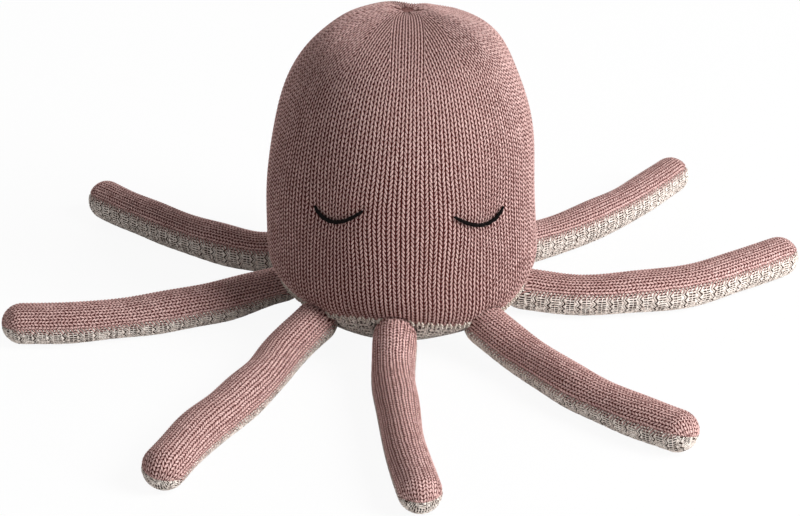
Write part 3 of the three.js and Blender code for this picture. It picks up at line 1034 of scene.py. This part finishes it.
def yarn(name, path, radius, outward=Z_AXIS, is_closed=False, plies=3, twist_length=4.0, sides=18):
    """A twisted yarn along points; radius may vary from point to point."""
    if is_closed:
        along = unit(np.roll(path, -1, 0) - np.roll(path, 1, 0))
        reach = reach_along(np.concatenate([path, path[:1]]))
        rounds = max(1, round(reach[-1] / twist_length))
    else:
        along = unit(np.gradient(path, axis=0))
        reach = reach_along(path)
        rounds = reach[-1] / twist_length
    twist = reach[:len(path), None] / reach[-1] * rounds * FULL_TURN
    ridge = np.abs(np.cos((full_turn(sides) - twist) * plies / 2))
    size = np.broadcast_to(radius, len(path))[:, None] * (1 - PLY_GROOVE_SHARE + PLY_GROOVE_SHARE * ridge)
    places = corner_places(np.arange(sides + 1) / sides, reach[:, None] / twist_length)
    grid = path_circles(path, along, outward, size, sides)
    return make_object(name, *tube(grid, places, is_closed=is_closed))


def eye_thread(name, eye):
    """One closed eye: long overlapping stitches of dark thread that lie on the knit."""
    line, out = eye_line(eye, EYE_STEPS)
    share = np.linspace(0, 1, EYE_STEPS)
    arch = np.sin(fraction(share * EYE_STITCHES) * HALF_TURN)
    plump = EYE_STITCH_END_SHARE + EYE_STITCH_SWELL_SHARE * arch
    inside = smooth_between(np.minimum(share, 1 - share), 0.0, EYE_END_SHARE)
    radius = EYE_THREAD_RADIUS * plump * (EYE_END_WIDTH_SHARE + (1 - EYE_END_WIDTH_SHARE) * inside)
    lift = EYE_THREAD_LIFT + EYE_STITCH_LIFT * arch - EYE_END_SINK * (1 - inside)
    return yarn(name, line + out * lift[:, None], radius, out, plies=2, twist_length=EYE_TWIST)


def rim_yarn():
    """The yarn that closes the head on its base."""
    turns = full_turn(RIM_YARN["steps"])
    height = RIM_HEIGHT - RIM_YARN["drop"] + rim_shift(turns)
    path = press_in_shoulders(from_front(turns, RIM_RADIUS - RIM_YARN["inset"], height))
    return yarn("rim_yarn", path, RIM_YARN["radius"], is_closed=True)


def rim_loops():
    """Cream stitches that catch the rim of the head, leaning one after another."""
    share = np.linspace(0, 1, LOOP_STEPS)
    arch = np.sin(share * HALF_TURN)
    size = (LOOP_END_RADIUS + LOOP_SWELL * arch ** 0.5)[:, None]
    round_loop = np.arange(LOOP_SIDES + 1) / LOOP_SIDES
    places = corner_places(round_loop, np.arange(LOOP_STEPS)[:, None] / LOOP_STEPS)
    points, faces, uvs = [], [], []
    for k in range(LOOPS):
        lean = LOOP_LEAN_SHARES[k % 2]
        angle = (k + lean * (share - 0.5)) / LOOPS * FULL_TURN
        height = RIM_HEIGHT - LOOP_DROP + LOOP_HEIGHT * share + rim_shift(angle)
        radius = RIM_RADIUS + LOOP_BULGE * arch - LOOP_INSET * (1 - share)
        path = press_in_shoulders(from_front(angle, radius, height))
        along = unit(np.gradient(path, axis=0))
        grid = path_circles(path, along, unit(path * [1, 1, 0]), size, LOOP_SIDES)
        loop_points, loop_faces, loop_uvs = tube(grid, places)
        points.append(loop_points)
        faces += [[corner + k * len(loop_points) for corner in face] for face in loop_faces]
        uvs.append(loop_uvs)
    return make_object("rim_loops", np.concatenate(points), faces, np.concatenate(uvs))


def crown_yarn():
    """The thread that draws the last stitches together, a ring that only just shows."""
    ring = CROWN_YARN["ring"]
    crown_radius, crown_height = head_outline()[CROWN_STEP:].T
    height = np.interp(-ring, -crown_radius, crown_height) - CROWN_SINK - CROWN_YARN["drop"]
    centre = np.array([lean_at(height), crown_shift(ring, height), height])
    path = circles(centre, ring, X_AXIS, Y_AXIS, CROWN_YARN["steps"])
    return yarn("crown_yarn", path, CROWN_YARN["radius"], is_closed=True, twist_length=FINE_TWIST)


def root_yarn(name, arm):
    """The stitching that sews an arm on, a ring behind its root."""
    reach, half = ROOT_YARN["reach"], ROOT_YARN["half_angle"]
    inward = -level_direction(arm["root"] + arm["turns"][0])
    centre = root_centre(arm) + inward * reach * math.cos(half)
    path = circles(centre, reach * math.sin(half), np.cross(Z_AXIS, inward), Z_AXIS, ROOT_YARN["steps"])
    return yarn(name, path, ROOT_YARN["radius"], inward, is_closed=True, twist_length=FINE_TWIST)


# Materials


def linear(value):
    """A 0-255 value of a picture in linear light."""
    share = value / 255
    return share / 12.92 if share <= 0.04045 else ((share + 0.055) / 1.055) ** 2.4


def paint(name, share=1.0):
    """A named colour, made darker or lighter by a share that paints shade or light over it."""
    return tuple(linear(value) * share for value in COLOURS[name]) + (1.0,)


def new_material(name, roughness, sheen, sheen_tint):
    material = bpy.data.materials.new(name)
    material.use_nodes = True
    shader = material.node_tree.nodes["Principled BSDF"]
    shader.inputs["Roughness"].default_value = roughness
    shader.inputs["Sheen Weight"].default_value = sheen
    shader.inputs["Sheen Roughness"].default_value = SHEEN_ROUGHNESS
    shader.inputs["Sheen Tint"].default_value = sheen_tint
    shader.inputs["Specular IOR Level"].default_value = SPECULAR_LEVEL
    return material, material.node_tree, shader


def knit_wires(tree):
    """The place in the knit across and along, as the mesh's UV map gives it."""
    layer = tree.nodes.new("ShaderNodeUVMap")
    layer.uv_map = "knit"
    parts = tree.nodes.new("ShaderNodeSeparateXYZ")
    tree.links.new(layer.outputs["UV"], parts.inputs[0])
    return Wire(tree, parts.outputs["X"]), Wire(tree, parts.outputs["Y"])


def noise_wire(tree, size, detail=1.0):
    """Noise whose features are about size millimetres across."""
    place = tree.nodes.new("ShaderNodeTexCoord")
    noise = tree.nodes.new("ShaderNodeTexNoise")
    noise.inputs["Scale"].default_value = 1 / (size * MM)
    noise.inputs["Detail"].default_value = detail
    tree.links.new(place.outputs["Object"], noise.inputs["Vector"])
    return Wire(tree, noise.outputs["Fac"])


def moved(value, noise, amount):
    """A value moved by noise to both sides, by half the amount at most."""
    return value + (noise - 0.5) * amount


def mix_colours(tree, factor, first, second):
    """The first colour where the factor is 0 and the second where it is 1."""
    node = tree.nodes.new("ShaderNodeMix")
    node.data_type = "RGBA"
    tree.links.new(factor.socket, node.inputs["Factor"])
    for socket, colour in ((node.inputs[6], first), (node.inputs[7], second)):
        if isinstance(colour, tuple):
            socket.default_value = colour
        else:
            tree.links.new(colour, socket)
    return node.outputs[2]


def add_surface(tree, shader, colour, height, bump_size):
    """Gives a shader its colour and its bump."""
    distance, strength = bump_size
    tree.links.new(colour, shader.inputs["Base Color"])
    bump = tree.nodes.new("ShaderNodeBump")
    bump.inputs["Strength"].default_value = strength
    bump.inputs["Distance"].default_value = distance * MM
    tree.links.new(height.socket, bump.inputs["Height"])
    tree.links.new(bump.outputs["Normal"], shader.inputs["Normal"])


def rose_knit(name, stitch, gap_shade, painted_light_share, unevenness, has_crown_shade):
    """Plain rose knit, with light and dark stitches and fibres, painted shade in the gaps and on the gathered
    crown.
    """
    material, tree, shader = new_material(name, KNIT_ROUGHNESS, ROSE_SHEEN, paint("rose_sheen"))
    wale, course = knit_wires(tree)
    wale = moved(wale, noise_wire(tree, ASIDE_SIZE, ASIDE_DETAIL), ASIDE_SHARE * unevenness)
    course = moved(course, noise_wire(tree, AHEAD_SIZE), unevenness)
    height = stockinette_height(wale, course, stitch)
    fibre = noise_wire(tree, FIBRE_SIZE, FIBRE_DETAIL)
    stitches = smooth_between(noise_wire(tree, STITCH_TONE_SIZE), *TONE_RANGE)
    drift = smooth_between(noise_wire(tree, DRIFT_SIZE), *TONE_RANGE) * DRIFT_SHARE
    fibres = smooth_between(fibre, *FIBRE_RANGE) * FIBRE_SHARE
    colour = mix_colours(tree, stitches, paint("rose_dark", painted_light_share), paint("rose_light", painted_light_share))
    colour = mix_colours(tree, drift, colour, paint("rose_drift", painted_light_share))
    colour = mix_colours(tree, fibres, colour, paint("rose_fibre", painted_light_share))
    # Painted shade darkens the gaps between the strands
    colour = mix_colours(tree, smooth_between(height, *ROSE_GAP_SHADE_RANGE), paint(gap_shade), colour)
    # Painted shade darkens the drawn-up middle of the crown
    if has_crown_shade:
        crown_shade_mask = smooth_between(course, *CROWN_SHADE_COURSES) * CROWN_SHADE
        colour = mix_colours(tree, crown_shade_mask, colour, paint(gap_shade))
    add_surface(tree, shader, colour, height + fibre * FIBRE_BUMP_SHARE, ROSE_BUMP)
    return material


def seam_fingers(depth, course):
    """Where rose strands reach over the cream, depth strands from an arm's seam, and the painted shade round
    them.
    """
    finger = from_whole(course + depth * FINGER_LEAN_SHARE) - depth * FINGER_TAPER_SHARE
    edge_shade = smooth_between(finger, *FINGER_SHADE_RANGE) * smooth_between(depth, *FINGER_SHADE_STRANDS)
    return smooth_between(finger, *FINGER_RANGE), edge_shade * FINGER_SHADE_SHARE


def cream_knit(name, has_fingers, gap_shade, painted_light_share):
    """Cream ribbed knit with painted shade in its slots and grooves; under an arm, rose strands reach over it
    at the seams, with painted shade round them.
    """
    material, tree, shader = new_material(name, KNIT_ROUGHNESS, CREAM_SHEEN, paint("cream_sheen"))
    strand, rib = knit_wires(tree)
    strand = moved(strand, noise_wire(tree, STRAND_ASIDE_SIZE, ASIDE_DETAIL), STRAND_ASIDE)
    rib = moved(rib, noise_wire(tree, AHEAD_SIZE), RIB_AHEAD)
    height = ribbing_height(strand, rib)
    fibre = noise_wire(tree, FIBRE_SIZE, FIBRE_DETAIL)
    strands = smooth_between(noise_wire(tree, STRAND_TONE_SIZE), *TONE_RANGE)
    fibres = smooth_between(fibre, *FIBRE_RANGE) * FIBRE_SHARE
    colour = mix_colours(tree, strands, paint("cream_dark", painted_light_share), paint("cream_light", painted_light_share))
    colour = mix_colours(tree, fibres, colour, paint("cream_fibre", painted_light_share))
    # Painted shade darkens the slots and grooves of the ribbing
    colour = mix_colours(tree, smooth_between(height, *CREAM_GAP_SHADE_RANGE), paint(gap_shade), colour)
    if has_fingers:
        rose_fibres = smooth_between(fibre, *FINGER_FIBRE_RANGE)
        rose = mix_colours(tree, rose_fibres, paint("finger_dark"), paint("finger_light"))
        depth = ping_pong(strand, UNDER_STRANDS / 2)
        fingers, edge_shade = seam_fingers(depth, rib * COURSES_PER_RIB)
        # Painted shade round the rose strands near the seam, then the strands over it
        colour = mix_colours(tree, edge_shade, colour, paint("finger_shade"))
        colour = mix_colours(tree, fingers, colour, rose)
    add_surface(tree, shader, colour, height + fibre * FIBRE_BUMP_SHARE, CREAM_BUMP)
    return material


def thread_material(name, colour_name, sheen, roughness):
    """Twisted thread, with painted shade between its plies."""
    light, dark = paint(colour_name), paint(f"{colour_name}_dark")
    material, tree, shader = new_material(name, roughness, sheen, light)
    around, along = knit_wires(tree)
    ply = from_whole((around - along) * THREAD_PLIES) * 2
    fibre = noise_wire(tree, THREAD_FIBRE_SIZE, FIBRE_DETAIL)
    raised = smooth_between(moved(ply, fibre, THREAD_FIBRE_SHARE), *PLY_SHADE_RANGE)
    # Painted shade between the plies
    colour = mix_colours(tree, raised, dark, light)
    add_surface(tree, shader, colour, ply + fibre * THREAD_FIBRE_BUMP_SHARE, THREAD_BUMP)
    return material


# Camera, light and floor


def add_camera():
    data = bpy.data.cameras.new("camera")
    data.lens = CAMERA_LENS
    data.sensor_width = SENSOR_WIDTH
    data.sensor_fit = "HORIZONTAL"
    camera = bpy.data.objects.new("camera", data)
    back = Vector((0, -math.cos(CAMERA_ELEVATION), math.sin(CAMERA_ELEVATION)))
    camera.location = (Vector(CAMERA_AIM) + back * CAMERA_DISTANCE) * MM
    camera.rotation_euler = (QUARTER_TURN - CAMERA_ELEVATION, 0, 0)
    bpy.context.scene.collection.objects.link(camera)
    bpy.context.scene.camera = camera


def add_lamp(name, place, size, energy):
    data = bpy.data.lights.new(name, "AREA")
    data.shape = "DISK"
    data.size = size
    data.energy = energy
    lamp = bpy.data.objects.new(name, data)
    lamp.location = place
    lamp.rotation_euler = (Vector(LAMP_AIM) - Vector(place)).to_track_quat("-Z", "Y").to_euler()
    bpy.context.scene.collection.objects.link(lamp)


def is_seen(tree):
    """1 where the camera, a reflection or glass shows the surface, and 0 where it only lights others."""
    rays = tree.nodes.new("ShaderNodeLightPath")
    camera, glossy, glass = (Wire(tree, rays.outputs[f"Is {name} Ray"])
                             for name in ("Camera", "Glossy", "Transmission"))
    return larger(larger(camera, glossy), glass)


def add_world():
    world = bpy.data.worlds.new("studio")
    world.use_nodes = True
    bpy.context.scene.world = world
    tree = world.node_tree
    background = tree.nodes["Background"]
    background.inputs["Color"].default_value = WHITE
    strength = is_seen(tree) * (1.0 - WORLD_STRENGTH) + WORLD_STRENGTH
    tree.links.new(strength.socket, background.inputs["Strength"])


def add_floor():
    """A floor that takes the shadows and looks nearly as white as the world."""
    size = FLOOR_HALF_SIZE
    corners = [(-size, -size), (size, -size), (size, size), (-size, size)]
    floor = make_object("floor", [(x, y, -FLOOR_DROP) for x, y in corners], [(0, 1, 2, 3)], smooth=False)
    material, tree, shader = new_material("floor", FLOOR_ROUGHNESS, 0.0, WHITE)
    shader.inputs["Base Color"].default_value = (FLOOR_GREY, FLOOR_GREY, FLOOR_GREY, 1.0)
    glow = tree.nodes.new("ShaderNodeEmission")
    mix = tree.nodes.new("ShaderNodeMixShader")
    tree.links.new((is_seen(tree) * FLOOR_WHITENESS).socket, mix.inputs["Fac"])
    tree.links.new(shader.outputs[0], mix.inputs[1])
    tree.links.new(glow.outputs[0], mix.inputs[2])
    tree.links.new(mix.outputs[0], tree.nodes["Material Output"].inputs["Surface"])
    floor.data.materials.append(material)


# Putting the octopus together


def finish_piece(piece, material):
    piece.data.materials.clear()
    piece.data.materials.append(material)


def add_head(rose_thread, cream_thread, dark_thread):
    head = head_skin()
    # A share below 1 paints shade over all of the head's rose knit
    rose = rose_knit("head_rose_yarn", HEAD_STITCH, "head_gap_shade", painted_light_share=0.93, unevenness=0.35, has_crown_shade=True)
    finish_piece(head, rose)
    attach(head, "head")
    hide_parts("head_cover", "head_filling")

    base = base_skin()
    # A share below 1 paints shade over all of the base, which lies in the head's shadow
    cream = cream_knit("base_cream_yarn", has_fingers=False, gap_shade="base_gap_shade", painted_light_share=0.9)
    finish_piece(base, cream)
    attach(base, "head")
    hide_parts("base_panel")

    for piece, material, slot, node in (
        (rim_yarn(), rose_thread, "rose_thread", "rim_seam_yarn"),
        (crown_yarn(), rose_thread, "rose_thread", "crown_draw_thread"),
        (eye_thread("left_eye", EYES["left_eye"]), dark_thread, "eye_thread", "left_eye_stitch"),
        (eye_thread("right_eye", EYES["right_eye"]), dark_thread, "eye_thread", "right_eye_stitch"),
    ):
        finish_piece(piece, material)
        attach(piece, "head")
        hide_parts(node)

    loops = rim_loops()
    finish_piece(loops, cream_thread)
    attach(loops, "head")


def add_arm(name, arm, seed, rose, cream, cream_thread):
    rows = arm_rows(arm)
    root = root_centre(arm)
    heading = unit((arm_route(arm)[BEND_HEADING_STEP] - root) * [1, 1, 0])
    for is_upper, material, slot, nodes in (
        (True, rose, "rose_knit", ("top_panel", "filling")),
        (False, cream, "cream_knit", ("under_panel",)),
    ):
        piece = arm_half(f"{name}_arm_{'top' if is_upper else 'under'}", rows, seed, is_upper)
        finish_piece(piece, material)
        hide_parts(*(f"{name}_arm_{node}" for node in nodes))
        (root + heading * BEND_START) * MM
        (root + heading * BEND_END) * MM
        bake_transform(piece)
    stitching = root_yarn(f"{name}_arm_stitching", arm)
    finish_piece(stitching, cream_thread)
    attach(stitching, f"{name}_arm_root")
    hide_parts(f"{name}_arm_root_stitching")


def main():
    bpy.context.scene.view_settings.view_transform = "Standard"
    add_camera()
    add_world()
    for name, lamp in LAMPS.items():
        add_lamp(name, **lamp)
    add_floor()
    # A share above 1 paints light over all of the arms' rose knit
    rose = rose_knit("arm_rose_yarn", ARM_STITCH, "arm_gap_shade", painted_light_share=1.12, unevenness=0.8, has_crown_shade=False)
    cream = cream_knit("arm_cream_yarn", has_fingers=True, gap_shade="under_gap_shade", painted_light_share=1.0)
    rose_thread = thread_material("rose_thread_yarn", "rose_thread", THREAD_SHEEN, THREAD_ROUGHNESS)
    cream_thread = thread_material("cream_thread_yarn", "cream_thread", THREAD_SHEEN, THREAD_ROUGHNESS)
    dark_thread = thread_material("eye_thread_yarn", "eye_thread", 0.0, EYE_ROUGHNESS)
    add_head(rose_thread, cream_thread, dark_thread)
    for seed, (name, arm) in enumerate(ARMS.items(), FIRST_ARM_SEED):
        add_arm(name, arm, seed, rose, cream, cream_thread)


main()
